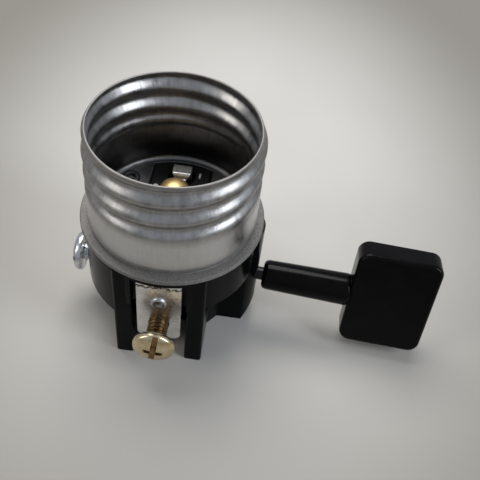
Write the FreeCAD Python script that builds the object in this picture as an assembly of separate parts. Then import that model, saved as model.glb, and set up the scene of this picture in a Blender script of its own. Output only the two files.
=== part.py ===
"""Lamp holder interior: medium screw shell over a moulded body with a side turn-knob switch.

Millimetres, +Z up.  The origin is on the axis of the screw shell, at the level of the feet.
+X is the switch shaft and its knob, -Y is the live terminal, -X is the neutral terminal.
"""
import FreeCAD, Part
import math
import os

V = FreeCAD.Vector
X = V(1, 0, 0)
Y = V(0, 1, 0)
Z = V(0, 0, 1)

# ---- driving dimensions ----------------------------------------------------------------
RUN_FIT = 0.04            # radial clearance of a turning or sliding fit
PRESS_FIT = 0.01          # radial clearance of a piece pressed on
SEAT_FIT = 0.05           # clearance beside a seated piece
AIR = 0.3                 # clearance between pieces that pass each other
PAST = 1.0                # cutting shapes run past a face by this
OVERLAP = 0.5             # features of one moulding run into each other by this

# screw shell
SHEET = 0.4               # shell sheet thickness
THREAD_MAJOR_D = 26.5     # inside diameter over the thread crests
THREAD_DEPTH = 0.84       # crest to valley, radially
THREAD_PITCH = 25.4 / 7   # seven turns to the inch
THREAD_PHASE = 50.0       # direction of the valley at the rim, degrees
SECTIONS_PER_TURN = 5     # sections of the rolled wall in one pitch
RIM_RUNOUT = 1.3          # height over which the thread dies into the rim
RIM_DEPTH_SHARE = 0.2     # share of the thread depth left at the rim
RIM_CURL = 0.55           # the rim is drawn in by this much
THREAD_LENGTH = 8.6       # full thread, below the rim
THREAD_FADE = 2.6         # height over which the thread dies into the plain band
SHELL_RISE = 17.85        # brim to rim
NECK_D = 26.3             # outside of the shell where it meets the brim
NECK_HEIGHT = 1.5         # height of the inward curve above the brim
CORNER_R = 0.9            # inside corner between the wall and the floor
BRIM_D = 29.9             # outside of the hemmed brim
HEM_GAP = 0.05            # air between the two layers of the hem
WINDOW_W = 10.2           # window in the shell floor
WINDOW_FRONT = -6.5
WINDOW_BACK_R = 12.05

# moulded body
BODY_H = 22.3             # feet to the face under the brim
DRUM_D = 28.6             # outside of the drum
DRUM_H = 7.9
SKIRT_H = 4.3             # skirt beside the neutral terminal, below the drum
SKIRT_WALL = 2.0
FLAT_DEPTH = 1.0          # flat front of the legs, in from the drum
LEG_INSIDE = 4.4          # half gap between a pair of legs
LEG_OUTSIDE = 7.4         # half width over a pair of legs
LEG_CORNER = 0.5
CORE_DEPTH = 5.3          # half depth of the switch core
WEB_X = 9.0               # where the core narrows to the shaft nose
NOSE_HALF_W = 3.35        # half width of the shaft nose
NOSE_PROUD = 1.0          # front of the nose, out from the drum
NOSE_ROUND = 1.9          # the round front of the nose starts this far back
NOSE_BEVEL = 1.8          # bevel under the nose, inwards
NOSE_BEVEL_TOP = 4.3      # and upwards
CHAMBER_X = 5.8           # half length of the switch chamber
CHAMBER_Y = 4.6           # half width of the switch chamber
CHAMBER_DEPTH = 8.0       # floor of the chamber below the shaft
POCKET_WALL = 1.7         # wall round the pocket for the contact carrier
CARRIER_H = 5.0
BLADE_POCKET_X = 6.4      # half width of the pocket under the carrier
BLADE_POCKET_FRONT = 9.6
BLADE_POCKET_BACK = 11.2
BLADE_POCKET_H = 1.7

# contact carrier
ISLAND_GAP = 0.35         # air between the island and the window edge
ISLAND_PROUD = 0.2        # island above the shell floor
ARM_NOTCH_ROOM = 1.6      # room in the carrier past the end of the live arm

# switch
SHAFT_DROP = 11.1         # shaft axis below the top of the body
SHAFT_YAW = -3.5          # the shaft stands off the X axis by this much, degrees
SHAFT_D = 2.3
SHAFT_TAIL = 8.2          # inner end, from the axis
SHAFT_OUT = 24.5          # outer end, from the axis
ROTOR_R = 3.6             # rotor drum
ROTOR_END = 5.0           # drum end on the knob side
CAM_START = -5.4
CAM_END = -2.8
CAM_FLATS = 5.8
CAM_CORNER_R = 3.5
CONTACTOR_T = 0.3
TRACK_W = 1.4
LINE_TRACK = -1.3         # tracks along the shaft
CENTRE_TRACK = 1.2
RING_TRACK = 3.6
CLIP_R = 2.2
CLIP_T = 0.4
DETENT_FOOT = 2.4         # half width of the bow of the detent spring, at its foot
DETENT_TOP = 1.2          # and at its top

# blades
BLADE_T = 0.3
BLADE_W = 1.0
BLADE_BEND = 0.2
FINGER_ROOT = 0.9         # the finger leaves the carrier here, along Y
FINGER_DIP = -0.5         # and reaches its track here
FINGER_END = -1.6
SEAT_LEFT = -4.9          # centre blade, seat under the button spring
SEAT_RIGHT = 2.2
SEAT_BACK = 6.3
LINE_TAB_W = 3.0          # line blade, tab under the live arm
LINE_TAB_IN = 2.2         # end of the tab, in from the strap face
LINE_DROP_IN = 6.6        # and the bend down to the finger
LINE_STEP = 0.9
LINE_TIP = 0.3
LINE_RIVET_IN = 4.0       # rivet, in from the strap face
LINE_RIVET_D = 1.0
LINE_RIVET_PROUD = 0.35

# contacts
BUTTON_X = -0.3
BUTTON_Y = 2.6
BUTTON_D = 5.2
BUTTON_PROUD = 3.85       # top of the button above the island
BUTTON_DOME = 2.0         # rise of the domed head
DOME_STEPS = 4            # conical steps of the dome
BUTTON_FOOT = 3.2         # underside of the button above the carrier's underside
FLANGE_D = 6.1            # collar that holds the button in the carrier
FLANGE_H = 0.6
SPIGOT_D = 2.0
SPIGOT_L = 1.2
SPRING_WIRE = 0.35
SPRING_MEAN_D = 3.2
SPRING_TURNS = 3.5
SPRING_STATIONS = 10      # straight runs in one turn of the spring
RING_X = 0.1
RING_W = 3.2
RING_T = 0.4
RING_BEND = 0.3
RING_BACK = 9.6           # upright of the hooked tab, along Y
RING_FRONT = 7.3          # front corner of the hook
RING_PROUD = 1.6          # top of the hook above the island
RING_HOOK = 1.4           # bottom of the hook below its top
RING_LEAN = 0.35          # the front of the hook leans out by this much
RING_LIP = 0.65           # lip at the bottom of the hook
RING_POCKET_R = 2.3
RING_POCKET_Y = 8.3
RING_POCKET_DEPTH = 1.6
RING_FOOT_FRONT = 8.2     # foot of the ring blade
RING_FOOT_BACK = 10.5
LUG_X = 3.1
LUG_Y = 8.9
LUG_W = 1.1
LUG_PROUD = 0.15
SPOT_X = -3.9
SPOT_Y = 5.3
SPOT_D = 0.9
SPOT_TAIL = 0.3           # end of the pin below the blade

# terminals
STRAP_SET_BACK = 0.1      # strap face behind the flat front of the legs
STRAP_T = 0.8
STRAP_W = 7.2
STRAP_BELOW = 3.9         # end of the strap below the screw
STRAP_CORNER = 1.3
STRAP_BEND = 0.5
LIVE_ARM_DROP = 1.7       # top of the live arm below the top of the body
LIVE_ARM_L = 5.6          # strap face to the end of the arm
NEUTRAL_ARM_L = 5.0
LOBE_EDGE = 0.5           # metal round the shell rivet, outside its head
STRAP_RIVET_DROP = 7.0    # rivet below the top of the body
STRAP_RIVET_D = 2.5
STRAP_RIVET_H = 0.35
STRAP_SHANK_D = 1.6
STRAP_SHANK_L = 1.6       # shank in the body
SCREW_DROP = 12.7         # screw below the top of the body
SCREW_D = 3.4
SCREW_L = 4.9
HEAD_D = 7.0
HEAD_H = 1.9
HEAD_RIM = 1.2            # straight edge of the head
HEAD_FLAT_D = 3.6         # flat middle of the head
SLOT_W = 0.9
SLOT_DEPTH = 0.95
CROSS_W = 0.8
CROSS_SPAN = 3.8
CROSS_DEPTH = 1.4
LIVE_SCREW_OUT = 3.9      # backed out from the strap by this much
LIVE_SCREW_SPIN = 83.0    # direction of the slot, degrees
NEUTRAL_SCREW_OUT = 2.4
NEUTRAL_SCREW_SPIN = 20.0
RIVET_D = 2.1             # shell rivets
RIVET_HEAD_D = 3.2
RIVET_HEAD_H = 0.5
RIVET_TAIL_H = 0.6
RIVET_ANGLE = 142.0

# knob
NECK_GAP = 0.9            # bare shaft between the nose and the knob
STEM_L = 15.2
STEM_D = 5.5
STEM_ROUND = 0.5
STEM_SINK = 1.2           # stem carried into the paddle
PADDLE_L = 14.3
PADDLE_H = 18.8
PADDLE_T = 5.0
PADDLE_CORNER = 2.0
PADDLE_EDGE = 0.45
PADDLE_TURN = 14.5        # degrees about the shaft

# ---- derived places --------------------------------------------------------------------
DRUM_R = DRUM_D / 2
BRIM_T = 2 * SHEET + HEM_GAP
BRIM_TOP = BODY_H + BRIM_T
RIM_Z = BRIM_TOP + SHELL_RISE
CREST_R = THREAD_MAJOR_D / 2 + SHEET
RIVET_R = CREST_R - SHEET - CORNER_R - RIVET_HEAD_D / 2 - SEAT_FIT
FLOOR_TOP = BODY_H + SHEET
DRUM_BOTTOM = BODY_H - DRUM_H
POCKET_D = DRUM_D - 2 * POCKET_WALL
FRONT_FACE = DRUM_R - FLAT_DEPTH
NOSE_FACE = DRUM_R + NOSE_PROUD
CARRIER_BOTTOM = BODY_H - CARRIER_H
ISLAND_TOP = FLOOR_TOP + ISLAND_PROUD
BUTTON_BOTTOM = CARRIER_BOTTOM + BUTTON_FOOT
BUTTON_TOP = ISLAND_TOP + BUTTON_PROUD
RING_TOP = ISLAND_TOP + RING_PROUD
RING_TIP = RING_TOP - RING_HOOK
STRAP_FACE = FRONT_FACE - STRAP_SET_BACK
STRAP_BACK = STRAP_FACE - STRAP_T
LIVE_ARM_TOP = BODY_H - LIVE_ARM_DROP
LIVE_ARM_END = STRAP_FACE - LIVE_ARM_L
NEUTRAL_ARM_END = STRAP_FACE - NEUTRAL_ARM_L
STRAP_RIVET_Z = BODY_H - STRAP_RIVET_DROP
SCREW_Z = BODY_H - SCREW_DROP
STRAP_BOTTOM = SCREW_Z - STRAP_BELOW
LINE_RIVET_Y = LINE_RIVET_IN - STRAP_FACE
LINE_DROP = LINE_DROP_IN - STRAP_FACE
BLADE_Z = CARRIER_BOTTOM - BLADE_T
SHAFT_Z = BODY_H - SHAFT_DROP
CHAMBER_BOTTOM = SHAFT_Z - CHAMBER_DEPTH
FINGER_Z = SHAFT_Z + ROTOR_R + CONTACTOR_T + AIR
KNOB_START = NOSE_FACE + NECK_GAP


# ---- helpers ---------------------------------------------------------------------------
def box(x0, x1, y0, y1, z0, z1):
    """Box between two corners."""
    return Part.makeBox(x1 - x0, y1 - y0, z1 - z0, V(x0, y0, z0))


def rod(diameter, start, end):
    """Cylinder between two points."""
    return Part.makeCylinder(diameter / 2, (end - start).Length, start, end - start)


def upright_rod(diameter, x, y, z0, z1):
    """Cylinder parallel to Z."""
    return rod(diameter, V(x, y, z0), V(x, y, z1))


def along_shaft(diameter, x0, x1):
    """Cylinder on the X axis at the height of the shaft."""
    return rod(diameter, V(x0, 0, SHAFT_Z), V(x1, 0, SHAFT_Z))


def yawed(shape):
    """Turn a shape made along X into the line of the shaft."""
    turned = shape.copy()
    turned.rotate(V(0, 0, 0), Z, SHAFT_YAW)
    return turned


def outline_prism(edges, run):
    """Solid over a closed flat outline."""
    return Part.Face(Part.Wire(edges)).extrude(run)


def polygon_edges(corners):
    """Straight edges through the corners, open."""
    return [Part.makeLine(a, b) for a, b in zip(corners, corners[1:])]


def ribbon(points, thickness, bend):
    """Outline of a bent strip: a centre line with rounded bends, thickened both ways."""
    radius = bend + thickness / 2
    corners = [V(u, 0, v) for u, v in points]
    pieces = []
    start = corners[0]
    for before, corner, after in zip(corners, corners[1:], corners[2:]):
        inward = (corner - before).normalize()
        outward = (after - corner).normalize()
        turn = inward.getAngle(outward)
        reach = radius * math.tan(turn / 2)
        side = inward.cross(outward).y
        left = V(-inward.z, 0, inward.x) * (1 if side < 0 else -1)
        first = corner - inward * reach
        pieces.append(("line", start, first, None, None, None))
        centre = first + left * radius
        last = corner + outward * reach
        middle = centre + (corner - centre).normalize() * radius
        pieces.append(("arc", first, last, middle, centre, side))
        start = last
    pieces.append(("line", start, corners[-1], None, None, None))

    def shifted(piece, shift):
        kind, first, last, middle, centre, side = piece
        if kind == "line":
            run = (last - first).normalize()
            normal = V(-run.z, 0, run.x) * shift
            return Part.makeLine(first + normal, last + normal)
        sign = -1 if side < 0 else 1
        scale = (radius + sign * shift) / radius
        moved = [centre + (p - centre) * scale for p in (first, middle, last)]
        return Part.Arc(*moved).toShape()

    half = thickness / 2
    above = [shifted(piece, half) for piece in pieces]
    below = [shifted(piece, -half) for piece in pieces]
    cap_start = Part.makeLine(below[0].Vertexes[0].Point, above[0].Vertexes[0].Point)
    cap_end = Part.makeLine(above[-1].Vertexes[-1].Point, below[-1].Vertexes[-1].Point)
    return Part.Face(Part.Wire(Part.__sortEdges__(above + below + [cap_start, cap_end])))


def strip_yz(points, thickness, bend, x0, x1):
    """Strip bent in the YZ plane, from x0 to x1; points are (y, z)."""
    solid = ribbon(points, thickness, bend).extrude(V(0, x0 - x1, 0))
    solid.rotate(V(0, 0, 0), Z, 90)
    solid.translate(V(x0, 0, 0))
    return solid


def turned(outline, x, y):
    """Solid turned about an upright axis; the outline is (radius, height), closed."""
    corners = [V(r, 0, z) for r, z in outline]
    solid = Part.Face(Part.makePolygon(corners + corners[:1])).revolve(V(0, 0, 0), Z, 360)
    solid.translate(V(x, y, 0))
    return solid


def rivet_centres():
    """The two shell rivets stand opposite each other."""
    angle = math.radians(RIVET_ANGLE)
    x = RIVET_R * math.cos(angle)
    y = RIVET_R * math.sin(angle)
    return [(x, y), (-x, -y)]


def to_side(shape):
    """Turn a shape made for the -Y side round to the -X side."""
    turned = shape.copy()
    turned.rotate(V(0, 0, 0), Z, -90)
    return turned


# ---- screw shell -----------------------------------------------------------------------
def smooth(t):
    """Smooth step from 0 to 1."""
    t = min(1.0, max(0.0, t))
    return t * t * (3 - 2 * t)


def thread_section(depth, inset):
    """Section of the rolled wall at a depth below the rim.

    A rolled thread of this form is a circle carried round the axis: the circle always
    touches the major diameter on the crest side and stands in by the depth on the other.
    """
    at_rim = smooth(depth / RIM_RUNOUT)
    at_end = smooth((depth - THREAD_LENGTH) / THREAD_FADE)
    share = (RIM_DEPTH_SHARE + (1 - RIM_DEPTH_SHARE) * at_rim) * (1 - at_end)
    offset = THREAD_DEPTH / 2 * share
    radius = CREST_R - RIM_CURL * (1 - at_rim) - offset - inset
    crest = math.radians(THREAD_PHASE + 180 - 360 * depth / THREAD_PITCH)
    centre = V(offset * math.cos(crest), offset * math.sin(crest), RIM_Z - depth)
    return Part.Wire(Part.Circle(centre, Z, radius).toShape())


def rolled_wall(inset):
    """Solid plug bounded by the rolled wall, from the plain band up to the rim."""
    bottom = THREAD_LENGTH + THREAD_FADE
    steps = round(bottom / THREAD_PITCH * SECTIONS_PER_TURN)
    sections = [thread_section(bottom * i / steps, inset) for i in range(steps, -1, -1)]
    return Part.makeLoft(sections, True, True)


def shell_base():
    """Plain band, neck, hemmed brim and floor, as one turned section."""
    band_top = RIM_Z - THREAD_LENGTH - THREAD_FADE
    neck_top = BRIM_TOP + NECK_HEIGHT
    brim_r = BRIM_D / 2
    lip = SHEET / 2
    inner = CREST_R - SHEET
    outline = [
        (CREST_R, band_top), (CREST_R, neck_top), (NECK_D / 2, BRIM_TOP),
        (brim_r - lip, BRIM_TOP), (brim_r, BRIM_TOP - lip), (brim_r, BODY_H), (0, BODY_H),
        (0, FLOOR_TOP), (inner - CORNER_R, FLOOR_TOP), (inner, FLOOR_TOP + CORNER_R),
        (inner, band_top),
    ]
    return turned(outline, 0, 0)


def window_prism(gap, z0, z1):
    """Window outline drawn in by a gap: straight sides and front, round back."""
    half = WINDOW_W / 2 - gap
    slab = box(-half, half, WINDOW_FRONT + gap, WINDOW_BACK_R, z0, z1)
    return slab.common(upright_rod(2 * (WINDOW_BACK_R - gap), 0, 0, z0, z1))


def rivet_holes(z0, z1):
    """Holes for the two shell rivets."""
    return [upright_rod(RIVET_D + 2 * SEAT_FIT, x, y, z0, z1) for x, y in rivet_centres()]


def make_screw_shell():
    wall = rolled_wall(0).cut(rolled_wall(SHEET))
    shell = shell_base().fuse(wall)
    low = BODY_H - PAST
    high = FLOOR_TOP + PAST
    return shell.cut([window_prism(0, low, high)] + rivet_holes(low, high)).removeSplitter()


# ---- moulded body ----------------------------------------------------------------------
def leg(hand, side):
    """One leg with a flat front face and rounded front corners."""
    x0, x1 = sorted((hand * LEG_INSIDE, hand * LEG_OUTSIDE))
    y0, y1 = sorted((side * (CORE_DEPTH - OVERLAP), side * FRONT_FACE))
    solid = box(x0, x1, y0, y1, 0, BODY_H)
    corners = []
    for edge in solid.Edges:
        upright = abs(edge.CenterOfMass.z - BODY_H / 2) < 0.01
        if upright and abs(edge.CenterOfMass.y - side * FRONT_FACE) < 0.01:
            corners.append(edge)
    return solid.makeFillet(LEG_CORNER, corners)


def switch_core():
    """The core that holds the switch."""
    outline = [
        (LEG_OUTSIDE, -CORE_DEPTH), (WEB_X, -NOSE_HALF_W), (WEB_X, NOSE_HALF_W),
        (LEG_OUTSIDE, CORE_DEPTH), (-LEG_OUTSIDE, CORE_DEPTH), (-LEG_OUTSIDE, -CORE_DEPTH),
        (LEG_OUTSIDE, -CORE_DEPTH),
    ]
    return outline_prism(polygon_edges([V(x, y, 0) for x, y in outline]), V(0, 0, DRUM_BOTTOM))


def shaft_nose():
    """Upright nose that carries the shaft: straight sides, round front, bevelled foot."""
    shoulder = NOSE_FACE - NOSE_ROUND
    corners = [
        V(shoulder, NOSE_HALF_W, 0), V(WEB_X - OVERLAP, NOSE_HALF_W, 0),
        V(WEB_X - OVERLAP, -NOSE_HALF_W, 0), V(shoulder, -NOSE_HALF_W, 0),
    ]
    front = Part.Arc(corners[-1], V(NOSE_FACE, 0, 0), corners[0]).toShape()
    nose = outline_prism(polygon_edges(corners) + [front], V(0, 0, BODY_H))
    slope = NOSE_BEVEL / NOSE_BEVEL_TOP
    low_x = NOSE_FACE - NOSE_BEVEL - slope * PAST
    high_x = NOSE_FACE + slope * PAST
    bevel = [
        V(low_x, -DRUM_D, -PAST), V(high_x, -DRUM_D, NOSE_BEVEL_TOP + PAST),
        V(high_x, -DRUM_D, -PAST), V(low_x, -DRUM_D, -PAST),
    ]
    return nose.cut(outline_prism(polygon_edges(bevel), V(0, 2 * DRUM_D, 0)))


def skirt():
    """The drum wall carried down on the neutral side, between the legs and the terminal."""
    low = DRUM_BOTTOM - SKIRT_H
    ring = upright_rod(DRUM_D, 0, 0, low, DRUM_BOTTOM)
    ring = ring.cut(upright_rod(DRUM_D - 2 * SKIRT_WALL, 0, 0, low, DRUM_BOTTOM))
    ring = ring.common(box(-DRUM_D, -LEG_OUTSIDE + OVERLAP, -DRUM_D, DRUM_D, 0, BODY_H))
    return ring.cut(box(-DRUM_D, 0, -LEG_INSIDE, LEG_INSIDE, 0, BODY_H))


def live_recess():
    """Seat of the live strap between the front legs, open below, and of its arm."""
    seat = box(-LEG_INSIDE, LEG_INSIDE, -DRUM_D, -STRAP_BACK, DRUM_BOTTOM, LIVE_ARM_TOP + AIR)
    half = STRAP_W / 2 + SEAT_FIT
    arm = box(-half, half, -STRAP_BACK - PAST, 0, LIVE_ARM_TOP - STRAP_T, LIVE_ARM_TOP + AIR)
    return [seat, arm]


def neutral_arm(gap):
    """Arm of the neutral strap on top of the body, out to the left shell rivet."""
    x, y = rivet_centres()[0]
    half = STRAP_W / 2 + gap
    reach = RIVET_HEAD_D / 2 + LOBE_EDGE + gap
    low = BODY_H - STRAP_T
    arm = box(-STRAP_FACE + STRAP_T + STRAP_BEND, -NEUTRAL_ARM_END + gap, -half, half, low, BODY_H)
    tongue = box(x - reach, x + reach, 0, y, low, BODY_H)
    return arm.fuse([upright_rod(2 * reach, x, y, low, BODY_H), tongue])


def bend_room(arm_top):
    """Room for the inside of the bend between the live strap and its arm."""
    half = STRAP_W / 2 + SEAT_FIT
    return box(-half, half, -STRAP_FACE, -STRAP_BACK + STRAP_BEND, arm_top - STRAP_T - STRAP_BEND, arm_top)


def strap_rivet_hole(depth):
    """Hole for the live strap rivet, from the open side to a depth behind the strap."""
    hole_d = STRAP_SHANK_D + 2 * SEAT_FIT
    return rod(hole_d, V(0, -DRUM_D, STRAP_RIVET_Z), V(0, -STRAP_BACK + depth, STRAP_RIVET_Z))


def make_socket_body():
    drum = upright_rod(DRUM_D, 0, 0, DRUM_BOTTOM, BODY_H)
    legs = [leg(hand, side) for hand in (-1, 1) for side in (-1, 1)]
    body = drum.fuse(legs + [switch_core(), shaft_nose(), skirt()])
    body = body.common(upright_rod(2 * NOSE_FACE, 0, 0, 0, BODY_H))
    rivet_depth = STRAP_SHANK_L + AIR
    cuts = [
        upright_rod(POCKET_D, 0, 0, CARRIER_BOTTOM, BODY_H + PAST),
        box(-CHAMBER_X, CHAMBER_X, -CHAMBER_Y, CHAMBER_Y, CHAMBER_BOTTOM, BODY_H),
        box(-BLADE_POCKET_X, BLADE_POCKET_X, -BLADE_POCKET_FRONT, BLADE_POCKET_BACK,
            CARRIER_BOTTOM - BLADE_POCKET_H, BODY_H),
        box(-DRUM_D, -STRAP_BACK, -LEG_INSIDE, LEG_INSIDE, 0, BODY_H + PAST),
        neutral_arm(SEAT_FIT),
        bend_room(LIVE_ARM_TOP),
        to_side(bend_room(BODY_H)),
        yawed(along_shaft(SHAFT_D + 2 * RUN_FIT, -LEG_OUTSIDE - PAST, NOSE_FACE + PAST)),
        strap_rivet_hole(rivet_depth),
        to_side(strap_rivet_hole(rivet_depth)),
    ]
    return body.cut(cuts + live_recess() + rivet_holes(0, BODY_H)).removeSplitter()


# ---- contact carrier -------------------------------------------------------------------
def make_contact_carrier():
    carrier = upright_rod(POCKET_D - 2 * SEAT_FIT, 0, 0, CARRIER_BOTTOM, BODY_H)
    carrier = carrier.fuse(window_prism(ISLAND_GAP, BODY_H - PAST, ISLAND_TOP))
    low = CARRIER_BOTTOM - PAST
    high = ISLAND_TOP + PAST
    arm_half = STRAP_W / 2 + SEAT_FIT
    tab_half = RING_W / 2 + SEAT_FIT
    tab_t = RING_T / 2 + SEAT_FIT
    lug_half = LUG_W / 2 + SEAT_FIT
    lug_t = BLADE_T / 2 + SEAT_FIT
    shoulder = BUTTON_BOTTOM + FLANGE_H + SEAT_FIT
    cuts = [
        box(-arm_half, arm_half, -DRUM_D, ARM_NOTCH_ROOM - LIVE_ARM_END, low, LIVE_ARM_TOP + AIR),
        neutral_arm(SEAT_FIT),
        to_side(bend_room(BODY_H)),
        box(-DRUM_D, SEAT_FIT - STRAP_BACK, -arm_half, arm_half, low, high),
        upright_rod(BUTTON_D + 2 * RUN_FIT, BUTTON_X, BUTTON_Y, low, high),
        upright_rod(FLANGE_D + 2 * RUN_FIT, BUTTON_X, BUTTON_Y, low, shoulder),
        box(RING_X - tab_half, RING_X + tab_half, RING_BACK - tab_t, RING_BACK + tab_t, low, high),
        upright_rod(2 * RING_POCKET_R, RING_X, RING_POCKET_Y, ISLAND_TOP - RING_POCKET_DEPTH, high),
        box(LUG_X - lug_t, LUG_X + lug_t, LUG_Y - lug_half, LUG_Y + lug_half, low, high),
        upright_rod(SPOT_D + 2 * SEAT_FIT, SPOT_X, SPOT_Y, low, high),
    ]
    return carrier.cut(cuts + rivet_holes(0, BODY_H + PAST)).removeSplitter()


# ---- contacts --------------------------------------------------------------------------
def make_centre_contact():
    """Spring-loaded button: domed head, straight side, collar and a spigot for the spring."""
    radius = BUTTON_D / 2
    shoulder = BUTTON_TOP - BUTTON_DOME
    spigot_end = BUTTON_BOTTOM - SPIGOT_L
    collar_top = BUTTON_BOTTOM + FLANGE_H
    side = [
        (0, spigot_end), (SPIGOT_D / 2, spigot_end), (SPIGOT_D / 2, BUTTON_BOTTOM),
        (FLANGE_D / 2, BUTTON_BOTTOM), (FLANGE_D / 2, collar_top), (radius, collar_top),
    ]
    dome = []
    for i in range(DOME_STEPS):
        angle = math.pi / 2 * i / DOME_STEPS
        dome.append((radius * math.cos(angle), shoulder + BUTTON_DOME * math.sin(angle)))
    return turned(side + dome + [(0, BUTTON_TOP)], BUTTON_X, BUTTON_Y)


def make_button_spring():
    """Compression spring of square wire between the button and the centre blade."""
    half = SPRING_WIRE / 2
    low = CARRIER_BOTTOM + half
    rise = BUTTON_FOOT - SPRING_WIRE
    stations = int(SPRING_TURNS * SPRING_STATIONS)
    sections = []
    for i in range(stations + 1):
        angle = 2 * math.pi * i / SPRING_STATIONS
        out = V(math.cos(angle), math.sin(angle), 0)
        middle = V(BUTTON_X, BUTTON_Y, low + rise * i / stations) + out * (SPRING_MEAN_D / 2)
        corners = [middle + out * (half * a) + Z * (half * b)
                   for a, b in ((1, 1), (-1, 1), (-1, -1), (1, -1), (1, 1))]
        sections.append(Part.makePolygon(corners))
    return Part.makeLoft(sections, True, True)


def make_ring_contact():
    """Hooked tab that stands up behind the button."""
    top = RING_TOP - RING_T / 2
    points = [
        (RING_BACK, CARRIER_BOTTOM), (RING_BACK, top), (RING_FRONT, top),
        (RING_FRONT - RING_LEAN, RING_TIP), (RING_FRONT - RING_LEAN - RING_LIP, RING_TIP),
    ]
    return strip_yz(points, RING_T, RING_BEND, RING_X - RING_W / 2, RING_X + RING_W / 2)


def finger(track, root):
    """Switch finger that runs under the carrier and drops onto a rotor track."""
    high = BLADE_Z + BLADE_T / 2
    low = FINGER_Z + BLADE_T / 2
    points = [(root, high), (FINGER_ROOT, high), (FINGER_DIP, low), (FINGER_END, low)]
    return strip_yz(points, BLADE_T, BLADE_BEND, track - BLADE_W / 2, track + BLADE_W / 2)


def make_centre_blade():
    """Seat of the button spring, with the finger of the centre track."""
    seat = box(SEAT_LEFT, SEAT_RIGHT, FINGER_ROOT, SEAT_BACK, BLADE_Z, CARRIER_BOTTOM)
    blade = seat.fuse(finger(CENTRE_TRACK, FINGER_ROOT + OVERLAP))
    hole = upright_rod(SPOT_D + 2 * SEAT_FIT, SPOT_X, SPOT_Y, 0, BODY_H)
    return blade.cut(hole).removeSplitter()


def make_centre_blade_rivet():
    """Pin that fixes the centre blade; its end shows as a small spot in the island."""
    return upright_rod(SPOT_D, SPOT_X, SPOT_Y, BLADE_Z - SPOT_TAIL, ISLAND_TOP)


def make_ring_blade():
    """Foot of the ring contact, with the finger of the ring track and a staked lug."""
    left = RING_X - RING_W / 2
    right = RING_TRACK + BLADE_W / 2
    foot = box(left, right, RING_FOOT_FRONT, RING_FOOT_BACK, BLADE_Z, CARRIER_BOTTOM)
    lug = box(LUG_X - BLADE_T / 2, LUG_X + BLADE_T / 2, LUG_Y - LUG_W / 2, LUG_Y + LUG_W / 2,
              BLADE_Z, ISLAND_TOP + LUG_PROUD)
    return foot.fuse([finger(RING_TRACK, RING_FOOT_FRONT + OVERLAP), lug]).removeSplitter()


# ---- terminals -------------------------------------------------------------------------
def bent_strap(arm_top, arm_end):
    """Terminal strap on the -Y side: upright face with round lower corners and a flat arm."""
    mid = STRAP_FACE - STRAP_T / 2
    arm_z = arm_top - STRAP_T / 2
    points = [(-mid, STRAP_BOTTOM), (-mid, arm_z), (-arm_end, arm_z)]
    strap = strip_yz(points, STRAP_T, STRAP_BEND, -STRAP_W / 2, STRAP_W / 2)
    corners = []
    for edge in strap.Edges:
        middle = edge.CenterOfMass
        at_bottom = abs(middle.z - STRAP_BOTTOM) < 0.01
        if at_bottom and abs(abs(middle.x) - STRAP_W / 2) < 0.01:
            corners.append(edge)
    strap = strap.makeFillet(STRAP_CORNER, corners)
    screw_hole = rod(SCREW_D + 2 * SEAT_FIT, V(0, -DRUM_D, SCREW_Z), V(0, -arm_end, SCREW_Z))
    return strap.cut([screw_hole, strap_rivet_hole(STRAP_BEND)])


def make_live_strap():
    hole_d = LINE_RIVET_D + 2 * SEAT_FIT
    hole = upright_rod(hole_d, LINE_TRACK, LINE_RIVET_Y, DRUM_BOTTOM, LIVE_ARM_TOP + PAST)
    return bent_strap(LIVE_ARM_TOP, LIVE_ARM_END).cut(hole).removeSplitter()


def make_neutral_strap():
    strap = to_side(bent_strap(BODY_H, NEUTRAL_ARM_END)).fuse(neutral_arm(0))
    return strap.cut(rivet_holes(0, BODY_H + PAST)).removeSplitter()


def make_strap_rivet():
    """Rivet that holds the live strap to the body."""
    face = V(0, -STRAP_FACE, STRAP_RIVET_Z)
    head = rod(STRAP_RIVET_D, face, face - Y * STRAP_RIVET_H)
    shank = rod(STRAP_SHANK_D, face, face + Y * (STRAP_T + STRAP_SHANK_L))
    return head.fuse(shank).removeSplitter()


def make_terminal_screw(backed_out, spin):
    """Pan-head screw for the live side, with a combined slot and cross."""
    radius = HEAD_D / 2
    shank = SCREW_D / 2
    outline = [
        (0, -SCREW_L), (shank, -SCREW_L), (shank, 0), (radius, 0), (radius, HEAD_RIM),
        (HEAD_FLAT_D / 2, HEAD_H), (0, HEAD_H),
    ]
    screw = turned(outline, 0, 0)
    half_cross = CROSS_SPAN / 2
    half_w = CROSS_W / 2
    cross_bottom = HEAD_H - CROSS_DEPTH
    screw = screw.cut([
        box(-radius, radius, -SLOT_W / 2, SLOT_W / 2, HEAD_H - SLOT_DEPTH, HEAD_H + PAST),
        box(-half_w, half_w, -half_cross, half_cross, cross_bottom, HEAD_H + PAST),
        box(-half_cross, half_cross, -half_w, half_w, cross_bottom, HEAD_H + PAST),
    ]).removeSplitter()
    screw.rotate(V(0, 0, 0), Z, spin)
    screw.rotate(V(0, 0, 0), X, 90)
    screw.translate(V(0, -STRAP_FACE - backed_out, SCREW_Z))
    return screw


# ---- switch ----------------------------------------------------------------------------
def make_switch_shaft():
    return yawed(along_shaft(SHAFT_D, -SHAFT_TAIL, SHAFT_OUT))


def make_switch_rotor():
    """Moulded drum for the contactor and a four-sided cam for the clicks."""
    drum = along_shaft(2 * (ROTOR_R - PRESS_FIT), CAM_END, ROTOR_END)
    half = CAM_FLATS / 2
    cam = box(CAM_START, CAM_END, -half, half, SHAFT_Z - half, SHAFT_Z + half)
    cam = cam.common(along_shaft(2 * CAM_CORNER_R, CAM_START, CAM_END))
    bore = along_shaft(SHAFT_D + 2 * PRESS_FIT, CAM_START - PAST, ROTOR_END + PAST)
    return yawed(drum.fuse(cam).cut(bore).removeSplitter())


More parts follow.
